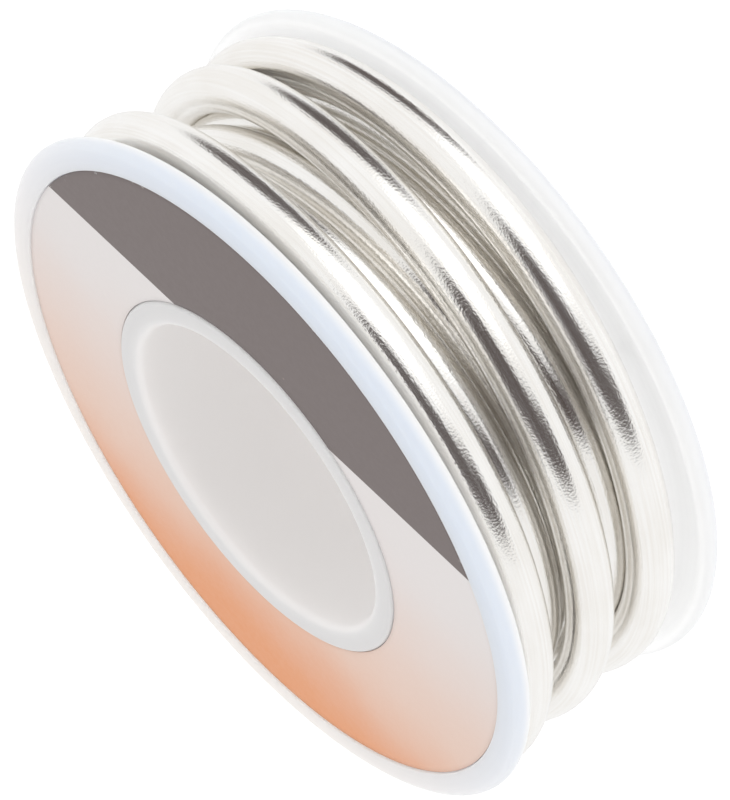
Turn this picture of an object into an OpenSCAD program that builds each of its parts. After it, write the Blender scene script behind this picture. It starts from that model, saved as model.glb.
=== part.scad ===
// Spool of solder wire: a one-piece moulded plastic spool, a printed ring label on its front flange,
// and solder wire wound on its hub in crossed layers.
// Millimetres. The spool lies on its rear flange at Z 0, its axis is Z, and the label faces +Z.

/* [Spool] */
// Diameter of the two flanges
flange_d = 52; // [48:0.5:80]
// Height of the spool along its axis
spool_h = 18; // [14:0.5:30]
// Thickness of each flange
flange_t = 1.1; // [0.9:0.1:2]
// How far the round bead at each rim stands proud of the flange's inner face
rim_bead = 0.2; // [0:0.05:0.3]
// Diameter of the bore through the hub
bore_d = 24; // [16:0.5:29]
// Radius of the rounding at each mouth of the bore
mouth_round = 0.6; // [0.4:0.1:1.3]
// Wall of the hub between the bore and the wire
hub_wall = 1.2; // [0.8:0.1:2.5]

/* [Sunk faces and label] */
// Radial width of the lip left round each mouth of the bore
lip_w = 1.95; // [1.9:0.05:3]
// Radial width of the raised band round the rim of each flange
rim_band = 2.1; // [1.5:0.05:3.5]
// Depth of the sunk face between the lip and the band
sunk_depth = 0.25; // [0.2:0.05:0.5]
// Gap between the label and the lip, and between the label and the band
label_gap = 0.05; // [0.05:0.05:0.5]
// Thickness of the label
label_t = 0.1; // [0.08:0.02:0.2]

/* [Solder wire] */
// Diameter of the wire
wire_d = 3.175; // [2.5:0.005:4]
// Depth of the outermost turn below the rims of the flanges
wire_inset = 0.4; // [0.2:0.1:4]
// Clearance from the winding to the hub and to each flange
wire_clear = 0.1; // [0.05:0.05:0.5]

/* [Hidden] */
$fn = 144;

flange_r = flange_d / 2;
bore_r = bore_d / 2;
hub_r = bore_r + hub_wall;
lip_r = bore_r + lip_w;
sunk_r = flange_r - rim_band;
sunk_z = spool_h - sunk_depth;
winding_in = hub_r + wire_clear;
winding_out = flange_r - wire_inset;
winding_low = flange_t + wire_clear;
winding_high = spool_h - flange_t - wire_clear;

// Quarter of a disc below its centre, on the side of the axis that side gives
module quarter_disc(r, side) {
    intersection() {
        circle(r);
        translate([side > 0 ? 0 : -r, -r]) square(r);
    }
}

// Profile of one flange with its outer face on Z 0, sunk between the lip and the rim band
module flange_profile() {
    bead_r = (flange_t + rim_bead) / 2;
    difference() {
        union() {
            translate([bore_r + mouth_round, 0]) square([flange_r - bead_r - bore_r - mouth_round, flange_t]);
            translate([flange_r - bead_r, bead_r]) circle(bead_r);
        }
        translate([lip_r - sunk_depth, -sunk_depth]) square([sunk_r - lip_r + sunk_depth, 2 * sunk_depth]);
    }
    // Rounded outer edge of the lip
    translate([lip_r - sunk_depth, sunk_depth]) quarter_disc(sunk_depth, 1);
    // Rounded mouth of the bore
    translate([bore_r + mouth_round, mouth_round]) quarter_disc(mouth_round, -1);
}

// The moulding: two flanges and the hub in one piece
module spool() {
    color("whitesmoke")
        rotate_extrude() {
            flange_profile();
            translate([0, spool_h]) mirror([0, 1]) flange_profile();
            translate([bore_r, mouth_round]) square([hub_wall, spool_h - 2 * mouth_round]);
        }
}

// The printed paper ring, flat on the front flange's sunk face
module front_label() {
    color("mistyrose")
        translate([0, 0, sunk_z])
            difference() {
                cylinder(h = label_t, r = sunk_r - label_gap);
                translate([0, 0, -label_t]) cylinder(h = 3 * label_t, r = lip_r + label_gap);
            }
}

// Outer shape of the wound wire, rounded like its outermost turns
module solder_winding() {
    edge = wire_d / 2;
    color("silver")
        rotate_extrude() {
            translate([winding_in, winding_low])
                square([winding_out - edge - winding_in, winding_high - winding_low]);
            translate([winding_out - edge, winding_low + edge])
                square([edge, winding_high - winding_low - wire_d]);
            translate([winding_out - edge, winding_low + edge]) circle(edge);
            translate([winding_out - edge, winding_high - edge]) circle(edge);
        }
}

spool();
front_label();
solder_winding();
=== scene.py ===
"""Spool of solder wire lying on a pale floor.

The wire is wound in four crossing layers. With it come the moulded spool, its printed ring label, the
floor and the light. Lengths in the tables and names below are millimetres, and MM turns them into
Blender's metres.
"""
import math

import bpy
from mathutils import Matrix, Vector


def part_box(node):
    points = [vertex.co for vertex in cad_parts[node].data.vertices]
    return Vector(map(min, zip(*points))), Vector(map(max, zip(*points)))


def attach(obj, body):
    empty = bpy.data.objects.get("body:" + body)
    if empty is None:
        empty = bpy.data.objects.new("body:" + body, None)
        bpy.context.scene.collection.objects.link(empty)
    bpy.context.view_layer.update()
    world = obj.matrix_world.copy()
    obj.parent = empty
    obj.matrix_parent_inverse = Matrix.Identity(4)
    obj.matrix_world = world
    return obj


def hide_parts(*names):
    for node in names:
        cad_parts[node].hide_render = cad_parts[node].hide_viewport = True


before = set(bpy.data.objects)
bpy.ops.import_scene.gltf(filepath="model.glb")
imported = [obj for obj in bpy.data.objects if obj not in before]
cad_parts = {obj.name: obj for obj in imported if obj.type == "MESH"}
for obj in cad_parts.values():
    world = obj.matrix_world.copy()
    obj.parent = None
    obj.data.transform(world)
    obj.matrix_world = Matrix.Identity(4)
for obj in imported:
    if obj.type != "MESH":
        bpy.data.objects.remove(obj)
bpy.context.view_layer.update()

MM = 0.001


# ---------------------------------------------------------------- sizes

def node_size(node):
    """Outer radius, lowest height and highest height of a round CAD node, in mm."""
    low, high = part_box(node)
    return max(high[0], high[1]) / MM, low[2] / MM, high[2] / MM


FLANGE_R, _, SPOOL_H = node_size("spool")
LABEL_R, LABEL_BACK, LABEL_FRONT = node_size("front_label")
_, WINDING_LOW, WINDING_HIGH = node_size("solder_winding")
WIRE_CLEAR = 0.1                                # from the winding to each flange
FLANGE_T = WINDING_LOW - WIRE_CLEAR
SUNK_DEPTH = SPOOL_H - LABEL_BACK
BORE_R = 12
HUB_R = 13.2
LIP_R = 13.95
LABEL_GAP = 0.05                                # from the label to the lip and to the rim band
LABEL_HOLE_R = LIP_R + LABEL_GAP
SUNK_R = LABEL_R + LABEL_GAP
WIRE_D = 3.175


# ---------------------------------------------------------------- camera

VIEW_TARGET = (0.2, 0.3, 8.1)
VIEW_DISTANCE = 216.8
VIEW_AZIMUTH = 62.3                             # anticlockwise from +X
VIEW_ELEVATION = 23.0
VIEW_ROLL = -125.7
LENS = 143.7
NEAREST_SEEN = 10


def add_camera():
    azimuth, elevation, roll = (math.radians(a) for a in (VIEW_AZIMUTH, VIEW_ELEVATION, VIEW_ROLL))
    back = Vector((math.cos(elevation) * math.cos(azimuth), math.cos(elevation) * math.sin(azimuth),
                   math.sin(elevation)))
    level = Vector((0, 0, 1)).cross(back).normalized()
    upright = back.cross(level)
    right = math.cos(roll) * level + math.sin(roll) * upright
    up = back.cross(right)
    data = bpy.data.cameras.new("camera")
    data.lens = LENS
    data.clip_start = NEAREST_SEEN * MM
    camera = bpy.data.objects.new("camera", data)
    place = (Vector(VIEW_TARGET) + VIEW_DISTANCE * back) * MM
    camera.matrix_world = Matrix.Translation(place) @ Matrix((right, up, back)).transposed().to_4x4()
    bpy.context.scene.collection.objects.link(camera)
    bpy.context.scene.camera = camera


add_camera()


# ---------------------------------------------------------------- mesh helpers

LATHE_SIDES = 288


def mesh_object(name, points, faces, material):
    mesh = bpy.data.meshes.new(name)
    mesh.from_pydata([Vector(p) * MM for p in points], [], faces)
    mesh.shade_smooth()
    mesh.materials.append(material)
    piece = bpy.data.objects.new(name, mesh)
    bpy.context.scene.collection.objects.link(piece)
    return piece


def arc(centre, radius, start, end, steps):
    """Points of an arc in a profile's (radius, height) plane, angles in degrees."""
    turns = [math.radians(start + (end - start) * i / steps) for i in range(steps + 1)]
    return [(centre[0] + radius * math.cos(a), centre[1] + radius * math.sin(a)) for a in turns]


def lathe(name, profile, material):
    """Closed profile of (radius, height) points, turned about Z."""
    points = []
    for i in range(LATHE_SIDES):
        a = 2 * math.pi * i / LATHE_SIDES
        points += [(r * math.cos(a), r * math.sin(a), z) for r, z in profile]
    n = len(profile)
    faces = []
    for i in range(LATHE_SIDES):
        here, beside = i * n, (i + 1) % LATHE_SIDES * n
        for j in range(n):
            after = (j + 1) % n
            faces.append((here + j, beside + j, beside + after, here + after))
    return mesh_object(name, points, faces, material)


# ---------------------------------------------------------------- node helpers

class Nodes:
    """Short forms for building a node tree."""

    def __init__(self, tree):
        self.tree = tree

    def add(self, kind, inputs=None, **settings):
        """Node with its settings made and each of its inputs linked or set."""
        node = self.tree.nodes.new(kind)
        for key, value in settings.items():
            setattr(node, key, value)
        for key, value in (inputs or {}).items():
            if isinstance(value, bpy.types.NodeSocket):
                self.tree.links.new(value, node.inputs[key])
            else:
                node.inputs[key].default_value = value
        return node

    def math(self, operation, *values):
        return self.add("ShaderNodeMath", dict(enumerate(values)), operation=operation).outputs[0]

    def scaled(self, vector, scales):
        return self.add("ShaderNodeVectorMath", {0: vector, 1: scales}, operation="MULTIPLY").outputs[0]

    def split(self, vector):
        return self.add("ShaderNodeSeparateXYZ", {0: vector}).outputs

    def length(self, a, b):
        """Length of the vector (a, b)."""
        squares = [self.math("MULTIPLY", v, v) for v in (a, b)]
        return self.math("SQRT", self.math("ADD", *squares))

    def heading(self, xyz):
        """Azimuth of a direction, in degrees anticlockwise from +X."""
        return self.math("DEGREES", self.math("ARCTAN2", xyz["Y"], xyz["X"]))

    def step(self, value, start, end, low=0.0, high=1.0):
        """Smooth change from low to high while value goes from start to end."""
        inputs = {"Value": value, "From Min": start, "From Max": end, "To Min": low, "To Max": high}
        return self.add("ShaderNodeMapRange", inputs, interpolation_type="SMOOTHSTEP").outputs[0]

    def noise(self, vector, scale, detail=2.0, roughness=0.5):
        inputs = {"Vector": vector, "Scale": scale, "Detail": detail, "Roughness": roughness}
        return self.add("ShaderNodeTexNoise", inputs).outputs["Fac"]

    def mix(self, factor, a, b):
        """Colour that goes from a to b while factor goes from 0 to 1."""
        return self.add("ShaderNodeMix", {0: factor, 6: a, 7: b}, data_type="RGBA").outputs[2]

    def bump(self, height, distance, strength):
        inputs = {"Height": height, "Distance": distance, "Strength": strength}
        return self.add("ShaderNodeBump", inputs).outputs[0]

    def place(self):
        """The object's own coordinates in millimetres."""
        return self.scaled(self.add("ShaderNodeTexCoord").outputs["Object"], (1 / MM, 1 / MM, 1 / MM))


SHARE_WITH_SPECK = 0.2                          # of the cells that specks are scattered in


def specks(n, place, density, size):
    """1 on a few small dots scattered over a surface."""
    cells = n.add("ShaderNodeTexVoronoi", {"Vector": place, "Scale": density}).outputs
    chosen = n.math("GREATER_THAN", n.split(cells["Color"])["X"], 1 - SHARE_WITH_SPECK)
    return n.math("MULTIPLY", chosen, n.step(cells["Distance"], size * density, 0.5 * size * density))


def new_material(name):
    material = bpy.data.materials.new(name)
    material.use_nodes = True
    material.node_tree.nodes.clear()
    return material, Nodes(material.node_tree)


def finish_material(n, **sockets):
    inputs = {key.replace("_", " "): value for key, value in sockets.items()}
    shader = n.add("ShaderNodeBsdfPrincipled", inputs)
    n.add("ShaderNodeOutputMaterial", {"Surface": shader.outputs[0]})


def grey(value):
    return (value, value, value, 1)


# ---------------------------------------------------------------- materials

# Each pair is the darkest and the lightest, or the two ends of a slow change
SOLDER = ((0.88, 0.855, 0.815, 1), (0.955, 0.945, 0.925, 1))
SOLDER_SCUFF = (0.55, 0.50, 0.46, 1)
PLASTIC = ((0.985, 0.985, 0.98, 1), (0.997, 0.997, 0.993, 1))
# Painted shade on the wall of each rim, darker and bluer on the rear rim by the floor
PLASTIC_RIM_SHADE = ((0.82, 0.825, 0.83, 1), (0.70, 0.715, 0.745, 1))
# Painted shade on the front's rim band, with a painted warm tint towards -Y and a blue one towards +Y
PLASTIC_BAND_SHADE = ((0.84, 0.795, 0.76, 1), (0.68, 0.725, 0.80, 1))
# Painted shade on the front's lip
PLASTIC_LIP_SHADE = ((0.68, 0.67, 0.67, 1), (0.705, 0.695, 0.69, 1))
# Painted shade on the wall of the bore
PLASTIC_BORE_SHADE = (0.835, 0.812, 0.80, 1)
PLASTIC_LINE = (0.6, 0.6, 0.62, 1)
PLASTIC_SPECK = (0.36, 0.32, 0.29, 1)
PAPER_PALE = (0.75, 0.71, 0.70, 1)
PAPER_PEACH = (0.77, 0.54, 0.435, 1)
PAPER_ORANGE = (0.765, 0.305, 0.125, 1)
PRINT = ((0.125, 0.093, 0.088, 1), (0.155, 0.123, 0.118, 1))
PRINT_WORN = (0.42, 0.40, 0.39, 1)
PAPER_SPECK = (0.30, 0.24, 0.21, 1)

DRAW_BUMP = 0.04                                # height of the wire's draw lines
GRAIN_BUMP = 0.01                               # height of the grain of plastic and paper
CLEAR_DEPTH = 24                                # how far light goes into the rear flange
EDGE_DEPTH = 2                                  # how far it goes into that flange's rim
SOLID_DEPTH = 1.5                               # how far it goes into the plastic in front
BAND_WAY = {"X": 0.47, "Y": 0.88}               # direction in which the front band's painted shade goes from warm to blue
BAND_SPAN = 24                                  # and how far it does so to each side of the axis
FRONT_TOP, FRONT_FOOT = 0.3, 1.0                # depths between which the painted shade on the front's lip and band fades out
RIM_WALL, RIM_START = 0.1, 0.65                 # depths in from the rim between which the painted shade on its wall fades out
PRINT_EDGE = 11.8                               # Y where the label's dark segment begins
WEAR_WIDTH = 0.7                                # the print is worn this near to its outer edge


def wire_material():
    """Drawn solder: bright, with fine draw lines along it and a faint ripple across it."""
    material, n = new_material("drawn_solder")
    along = n.add("ShaderNodeAttribute", attribute_name="straightened").outputs["Vector"]
    # Cells of noise for each millimetre across the wire, twice, and along it
    lines = n.noise(n.scaled(along, (6.0, 6.0, 0.06)), 1.0, detail=3.0)
    ripple = n.noise(n.scaled(along, (7.5, 7.5, 6.5)), 1.0, detail=1.0)
    wander = n.noise(n.scaled(along, (0.5, 0.5, 0.2)), 1.0)
    scuff = n.noise(n.scaled(along, (2.5, 2.5, 1.2)), 1.0, detail=4.0, roughness=0.7)
    height = n.math("ADD", n.math("MULTIPLY", lines, 0.5), n.math("MULTIPLY", ripple, 0.62))
    tone = n.math("ADD", n.math("MULTIPLY", wander, 0.5), n.math("MULTIPLY", lines, 0.5))
    metal = n.mix(n.step(tone, 0.3, 0.7), *SOLDER)
    colour = n.mix(n.step(scuff, 0.72, 0.80), metal, SOLDER_SCUFF)
    finish_material(n, Base_Color=colour, Metallic=0.93, Roughness=n.step(lines, 0.2, 0.8, 0.12, 0.24),
                    Normal=n.bump(height, DRAW_BUMP * MM, 0.6))
    return material


def plastic_material():
    """Milky white plastic, clearer in the rear flange, with painted shade on its rims, front lip and band,
    and bore.
    """
    material, n = new_material("milky_plastic")
    place = n.place()
    xyz = n.split(place)
    reach = n.length(xyz["X"], xyz["Y"])
    cloud = n.noise(place, 0.25)
    # Both flanges and the hub, with painted shade on the wall of each rim, darker and bluer on the rear rim
    # by the floor
    rim = n.step(reach, FLANGE_R - RIM_START, FLANGE_R - RIM_WALL)
    rim_wall_shade = n.mix(n.step(xyz["Z"], 1.0, 0.2), *PLASTIC_RIM_SHADE)
    plain = n.mix(rim, n.mix(cloud, *PLASTIC), rim_wall_shade)
    # Painted shade on the front's lip and rim band, with a painted warm to blue tint on the band, and
    # painted shade in the bore
    across = n.math("ADD", *(n.math("MULTIPLY", xyz[axis], share) for axis, share in BAND_WAY.items()))
    band_shade = n.mix(n.step(across, -BAND_SPAN, BAND_SPAN), *PLASTIC_BAND_SHADE)
    ring = n.mix(n.step(reach, LIP_R, SUNK_R), n.mix(cloud, *PLASTIC_LIP_SHADE), band_shade)
    front = n.step(xyz["Z"], SPOOL_H - FRONT_FOOT, SPOOL_H - FRONT_TOP)
    # Painted shade on the bore's wall
    bore_shade_mask = n.step(reach, BORE_R + 0.5, BORE_R + 0.05)
    whole = n.mix(bore_shade_mask, n.mix(front, plain, ring), PLASTIC_BORE_SHADE)
    # Faint rings and a few specks
    lines = n.noise(n.add("ShaderNodeCombineXYZ", {0: reach}).outputs[0], 3.0, detail=1.0)
    lined = n.mix(n.step(lines, 0.35, 0.65, 0.05, 0.0), whole, PLASTIC_LINE)
    dots = n.math("MULTIPLY", specks(n, place, density=0.25, size=0.16), 0.7)
    colour = n.mix(dots, lined, PLASTIC_SPECK)
    rear_depth = n.step(rim, 0.0, 1.0, CLEAR_DEPTH * MM, EDGE_DEPTH * MM)
    depth = n.step(xyz["Z"], 2.0, 6.0, rear_depth, SOLID_DEPTH * MM)
    finish_material(n, Base_Color=colour, Roughness=n.step(cloud, 0.2, 0.8, 0.32, 0.42), IOR=1.49,
                    Normal=n.bump(n.noise(place, 3.0, detail=3.0), GRAIN_BUMP * MM, 0.4),
                    Subsurface_Weight=1.0, Subsurface_Radius=(1.0, 1.0, 1.0), Subsurface_Scale=depth)
    return material


def label_material():
    """Printed ring: a plain dark segment towards +Y, and pale paper that fades to orange towards -Y."""
    material, n = new_material("printed_paper")
    place = n.place()
    xyz = n.split(place)
    fleck = n.noise(place, 2.2, detail=4.0)
    soft = n.math("ADD", xyz["Y"], n.math("MULTIPLY", n.noise(place, 0.12), 4.0))
    peach = n.mix(n.step(soft, 12.0, -12.0), PAPER_PALE, PAPER_PEACH)
    paper = n.mix(n.step(soft, -7.0, -20.0), peach, PAPER_ORANGE)
    # The print lets the paper show where it is worn, most of all at its outer edge
    near_edge = n.step(n.length(xyz["X"], xyz["Y"]), LABEL_R - WEAR_WIDTH, LABEL_R, 0.0, 0.16)
    wear = n.math("ADD", n.noise(place, 1.6, detail=5.0, roughness=0.7), near_edge)
    printed = n.mix(n.step(wear, 0.74, 0.80), n.mix(fleck, *PRINT), PRINT_WORN)
    whole = n.mix(n.math("GREATER_THAN", xyz["Y"], PRINT_EDGE), paper, printed)
    dots = n.math("MULTIPLY", specks(n, place, density=0.3, size=0.12), 0.6)
    colour = n.mix(dots, whole, PAPER_SPECK)
    finish_material(n, Base_Color=colour, Roughness=n.step(fleck, 0.2, 0.8, 0.38, 0.48),
                    Normal=n.bump(fleck, GRAIN_BUMP * MM, 0.3))
    return material


# ---------------------------------------------------------------- solder wire

HIDDEN_LAYERS = (14.79, 17.65, 20.45)           # radii of the first three layers
PITCH = 3.1                                     # from one turn to the next along the axis
LOWEST = FLANGE_T + WIRE_D / 2
HIGHEST = WINDING_HIGH + WIRE_CLEAR - WIRE_D / 2
START_FLAT = 200                                # degrees run along the front flange before the first layer
THIRD_TOP = 482                                 # azimuth where the third layer leaves the front flange
STEP_FLAT = 25                                  # degrees run along a flange before and after each climb
STEP_CLIMB = 60                                 # degrees that a climb to the next layer takes
# Azimuth, radius and height along the outer layer, which the hands of the winder left uneven
OUTER_RUN = (
    (-1110, 20.45, 2.7), (-1285, 23.5, 2.7), (-1324, 23.5, 2.85), (-1378, 23.5, 3.2), (-1425, 23.5, 4.1),
    (-1460, 23.5, 4.0), (-1560, 23.5, 4.6),
    (-1658, 23.55, 6.3), (-1690, 23.55, 7.5), (-1720, 23.55, 8.3), (-1750, 23.55, 8.9),
    (-1780, 23.55, 9.45), (-1820, 23.55, 9.65), (-1920, 23.6, 11.0),
    (-2030, 24.0, 13.5), (-2050, 24.0, 14.3), (-2070, 24.0, 14.75), (-2120, 23.9, 14.85),
    (-2160, 23.85, 15.25), (-2230, 23.8, 15.3),
)
RING_STEP = 3                                   # degrees from one ring of the mesh to the next
RING_SIDES = 28
SMOOTH_SPAN = 5                                 # points averaged to each side of a point of the route
SMOOTH_PASSES = 2
END_SHARES = (0.35, 0.85)                       # of the wire's radius, for the rings that round off an end
END_BULGE = 0.3                                 # how far the middle of an end would stand out


def wire_stations():
    """Azimuth, radius and height where the wire's run changes, from its inner end to its outer end."""
    sweep = (HIGHEST - LOWEST) / PITCH * 360
    turn_back = 2 * STEP_FLAT + STEP_CLIMB
    azimuth = THIRD_TOP + 2 * (sweep + turn_back)
    stations = [(azimuth + START_FLAT, HIDDEN_LAYERS[0], HIGHEST)]
    near, far = HIGHEST, LOWEST
    for layer, radius in enumerate(HIDDEN_LAYERS):
        stations += [(azimuth, radius, near), (azimuth - sweep, radius, far)]
        if radius != HIDDEN_LAYERS[-1]:
            flat_end = azimuth - sweep - STEP_FLAT
            stations += [(flat_end, radius, far), (flat_end - STEP_CLIMB, HIDDEN_LAYERS[layer + 1], far)]
        azimuth -= sweep + turn_back
        near, far = far, near
    return stations + list(OUTER_RUN)


def eased(samples):
    """Each point's radius and height averaged with those of its neighbours."""
    result = []
    for i, (azimuth, _radius, _height) in enumerate(samples):
        near = samples[max(0, i - SMOOTH_SPAN):i + SMOOTH_SPAN + 1]
        result.append((azimuth, sum(s[1] for s in near) / len(near), sum(s[2] for s in near) / len(near)))
    return result


def wire_route():
    """The wire's centreline, one point for every RING_STEP degrees."""
    stations = wire_stations()
    samples = []
    azimuth = stations[0][0]
    at = 0
    while azimuth >= stations[-1][0]:
        while azimuth < stations[at + 1][0]:
            at += 1
        (a0, r0, z0), (a1, r1, z1) = stations[at], stations[at + 1]
        share = (a0 - azimuth) / (a0 - a1)
        samples.append((azimuth, r0 + (r1 - r0) * share, z0 + (z1 - z0) * share))
        azimuth -= RING_STEP
    for _ in range(SMOOTH_PASSES):
        samples = eased(samples)
    route = []
    for azimuth, radius, height in samples:
        a = math.radians(azimuth)
        route.append(Vector((radius * math.cos(a), radius * math.sin(a), height)))
    return route


def wire_mesh(route, material):
    """Tube along the route, with each point's place on the straightened wire kept for the material."""
    points, straight = [], []
    run = 0.0
    last = len(route) - 1
    rings = [(0, share) for share in END_SHARES] + [(i, 1.0) for i in range(len(route))]
    rings += [(last, share) for share in reversed(END_SHARES)]
    for i, share in rings:
        before, after = route[max(i - 1, 0)], route[min(i + 1, last)]
        tangent = (after - before).normalized()
        outward = Vector((route[i].x, route[i].y, 0)).normalized()
        outward = (outward - tangent * outward.dot(tangent)).normalized()
        side = tangent.cross(outward)
        if share == 1:
            run += (route[i] - before).length
        bulge = (1 - share) * END_BULGE * (-1 if i == 0 else 1)
        for k in range(RING_SIDES):
            a = 2 * math.pi * k / RING_SIDES
            x, y = WIRE_D / 2 * share * math.cos(a), WIRE_D / 2 * share * math.sin(a)
            points.append(route[i] + tangent * bulge + outward * x + side * y)
            straight.append((x, y, run + bulge))
    faces = []
    for ring in range(len(rings) - 1):
        here, beyond = ring * RING_SIDES, (ring + 1) * RING_SIDES
        for k in range(RING_SIDES):
            beside = (k + 1) % RING_SIDES
            faces.append((here + k, here + beside, beyond + beside, beyond + k))
    top = (len(rings) - 1) * RING_SIDES
    faces += [tuple(range(RING_SIDES - 1, -1, -1)), tuple(range(top, top + RING_SIDES))]
    piece = mesh_object("solder_wire", points, faces, material)
    places = piece.data.attributes.new("straightened", "FLOAT_VECTOR", "POINT")
    places.data.foreach_set("vector", [v for p in straight for v in p])
    return piece


def add_wire():
    route = wire_route()
    wire = wire_mesh(route, wire_material())
    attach(wire, "root")
    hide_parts("solder_winding")


add_wire()


# ---------------------------------------------------------------- spool

RIM_BEAD = 0.2                                  # how far the rim's round bead stands into the wire space
MOUTH_ROUND = 0.6
LIP_ROUND = SUNK_DEPTH
BAND_ROUND = 0.12
BAND_DRAFT = 0.02                               # how much the step from the sunk face to the band leans


def flange_outline():
    """Outer face of the front flange from the bore to its rim and back along the inner face to the hub."""
    top = SPOOL_H
    outline = arc((BORE_R + MOUTH_ROUND, top - MOUTH_ROUND), MOUTH_ROUND, 180, 90, 10)
    outline += arc((LIP_R - LIP_ROUND, top - LIP_ROUND), LIP_ROUND, 90, 0, 8)
    outline += [(SUNK_R - BAND_DRAFT, top - SUNK_DEPTH)]
    outline += arc((SUNK_R + BAND_ROUND, top - BAND_ROUND), BAND_ROUND, 180, 90, 5)
    bead_r = (FLANGE_T + RIM_BEAD) / 2
    meets = math.degrees(math.asin((FLANGE_T - bead_r) / bead_r)) - 180
    outline += arc((FLANGE_R - bead_r, top - bead_r), bead_r, 90, meets, 24)
    outline += [(HUB_R, top - FLANGE_T)]
    return outline


def add_spool():
    front = flange_outline()
    back = [(r, SPOOL_H - z) for r, z in reversed(front)]
    spool = lathe("spool_moulding", front + back, plastic_material())
    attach(spool, "root")
    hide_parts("spool")


add_spool()


# ---------------------------------------------------------------- label

LABEL_EDGE = 0.03                               # width and height of the slope at the label's upper edges
LABEL_RINGS = 24


def add_label():
    inner = LABEL_HOLE_R + LABEL_EDGE
    span = LABEL_R - LABEL_EDGE - inner
    profile = [(LABEL_HOLE_R, LABEL_BACK), (LABEL_HOLE_R, LABEL_FRONT - LABEL_EDGE)]
    profile += [(inner + span * i / LABEL_RINGS, LABEL_FRONT) for i in range(LABEL_RINGS + 1)]
    profile += [(LABEL_R, LABEL_FRONT - LABEL_EDGE), (LABEL_R, LABEL_BACK)]
    label = lathe("ring_label", profile, label_material())
    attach(label, "root")
    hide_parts("front_label")


add_label()


# ---------------------------------------------------------------- floor and light

FLOOR_HALF = 2000
FLOOR_GLOW = 1.2                                # strength of the floor's own light
FLOOR_PAPER = 0.05                              # share of the floor that takes light and shadow
KEY_DIRECTION = (0.118, 0.959, -0.259)          # from the object towards the key
KEY_EDGE, KEY_CORE = 0.82, 0.97                 # cosines of the angles where the key fades out and is full
KEY_STRENGTH = 1.6
MIRRORED_STRENGTH = 0.98                        # of the white that the metal shows away from the key
PATCH_COLOUR = (0.06, 0.043, 0.041, 1)
OVAL_AZIMUTH, OVAL_HALF_WIDTH = 146, 34.0       # degrees
OVAL_ELEVATION, OVAL_HALF_HEIGHT = -42.0, 27.0
MIRROR_BOUNCES = 12                             # between neighbouring turns of the wire


def add_floor():
    """White floor that glows, so that the object throws only a faint shadow."""
    material, n = new_material("pale_floor")
    white = n.mix(n.noise(n.add("ShaderNodeTexCoord").outputs["Object"], 8.0), grey(0.98), grey(1.0))
    glow = n.add("ShaderNodeEmission", {"Color": white, "Strength": FLOOR_GLOW})
    paper = n.add("ShaderNodeBsdfDiffuse", {"Color": grey(0.9)})
    both = n.add("ShaderNodeMixShader", {0: FLOOR_PAPER, 1: glow.outputs[0], 2: paper.outputs[0]})
    n.add("ShaderNodeOutputMaterial", {"Surface": both.outputs[0]})
    corners = [(x * FLOOR_HALF, y * FLOOR_HALF, 0) for x, y in ((-1, -1), (1, -1), (1, 1), (-1, 1))]
    floor = mesh_object("floor", corners, [(0, 1, 2, 3)], material)
    floor.visible_glossy = False


def upper_patch(n, azimuth, elevation):
    """Dark patch with a soft left edge; its right edge swings away above the horizon. Angles in degrees."""
    left = n.step(azimuth, 1.0, 13.0)
    edge = n.step(elevation, 6.0, 36.0, 34.0, 86.0)
    right = n.step(n.math("SUBTRACT", azimuth, edge), -8.0, 10.0, 1.0, 0.0)
    tall = n.math("MULTIPLY", n.step(elevation, -22.0, -8.0), n.step(elevation, 66.0, 88.0, 1.0, 0.3))
    return n.math("MULTIPLY", n.math("MULTIPLY", left, right), tall)


def lower_oval(n, direction, elevation):
    """Dark oval below the horizon."""
    turn = {"Vector": direction, "Angle": math.radians(-OVAL_AZIMUTH)}
    turned = n.add("ShaderNodeVectorRotate", turn, rotation_type="Z_AXIS").outputs[0]
    aside = n.math("DIVIDE", n.heading(n.split(turned)), OVAL_HALF_WIDTH)
    above = n.math("DIVIDE", n.math("SUBTRACT", elevation, OVAL_ELEVATION), OVAL_HALF_HEIGHT)
    return n.step(n.length(aside, above), 0.72, 1.12, 1.0, 0.0)


def add_world():
    """White all round, with the key light and the two dark patches that bright metal shows."""
    world = bpy.data.worlds.new("studio")
    world.use_nodes = True
    bpy.context.scene.world = world
    world.node_tree.nodes.clear()
    n = Nodes(world.node_tree)
    direction = n.add("ShaderNodeTexCoord").outputs["Generated"]
    xyz = n.split(direction)
    elevation = n.math("DEGREES", n.math("ARCSINE", xyz["Z"]))
    upper = upper_patch(n, n.heading(xyz), elevation)
    patches = n.math("MAXIMUM", upper, lower_oval(n, direction, elevation))
    # Only the metal's own mirror image shows the patches and the key; the plastic is lit evenly
    path = n.add("ShaderNodeLightPath").outputs
    mirrored = n.math("MULTIPLY", path["Is Glossy Ray"], n.math("LESS_THAN", path["Diffuse Depth"], 0.5))
    dark = n.math("MULTIPLY", patches, mirrored)
    # The key is large and soft, and comes from above in the picture
    toward_key = n.add("ShaderNodeVectorMath", {0: direction, 1: KEY_DIRECTION}, operation="DOT_PRODUCT")
    key = n.math("MULTIPLY", toward_key.outputs["Value"], mirrored)
    white = n.step(mirrored, 0.0, 1.0, 1.0, MIRRORED_STRENGTH)
    bright = n.step(key, KEY_EDGE, KEY_CORE, white, KEY_STRENGTH)
    strength = n.step(dark, 0.0, 1.0, bright, 1.0)
    colour = n.mix(dark, grey(1.0), PATCH_COLOUR)
    background = n.add("ShaderNodeBackground", {"Color": colour, "Strength": strength})
    n.add("ShaderNodeOutputWorld", {"Surface": background.outputs[0]})


add_floor()
add_world()
bpy.context.scene.view_settings.view_transform = "Standard"
bpy.context.scene.cycles.glossy_bounces = MIRROR_BOUNCES
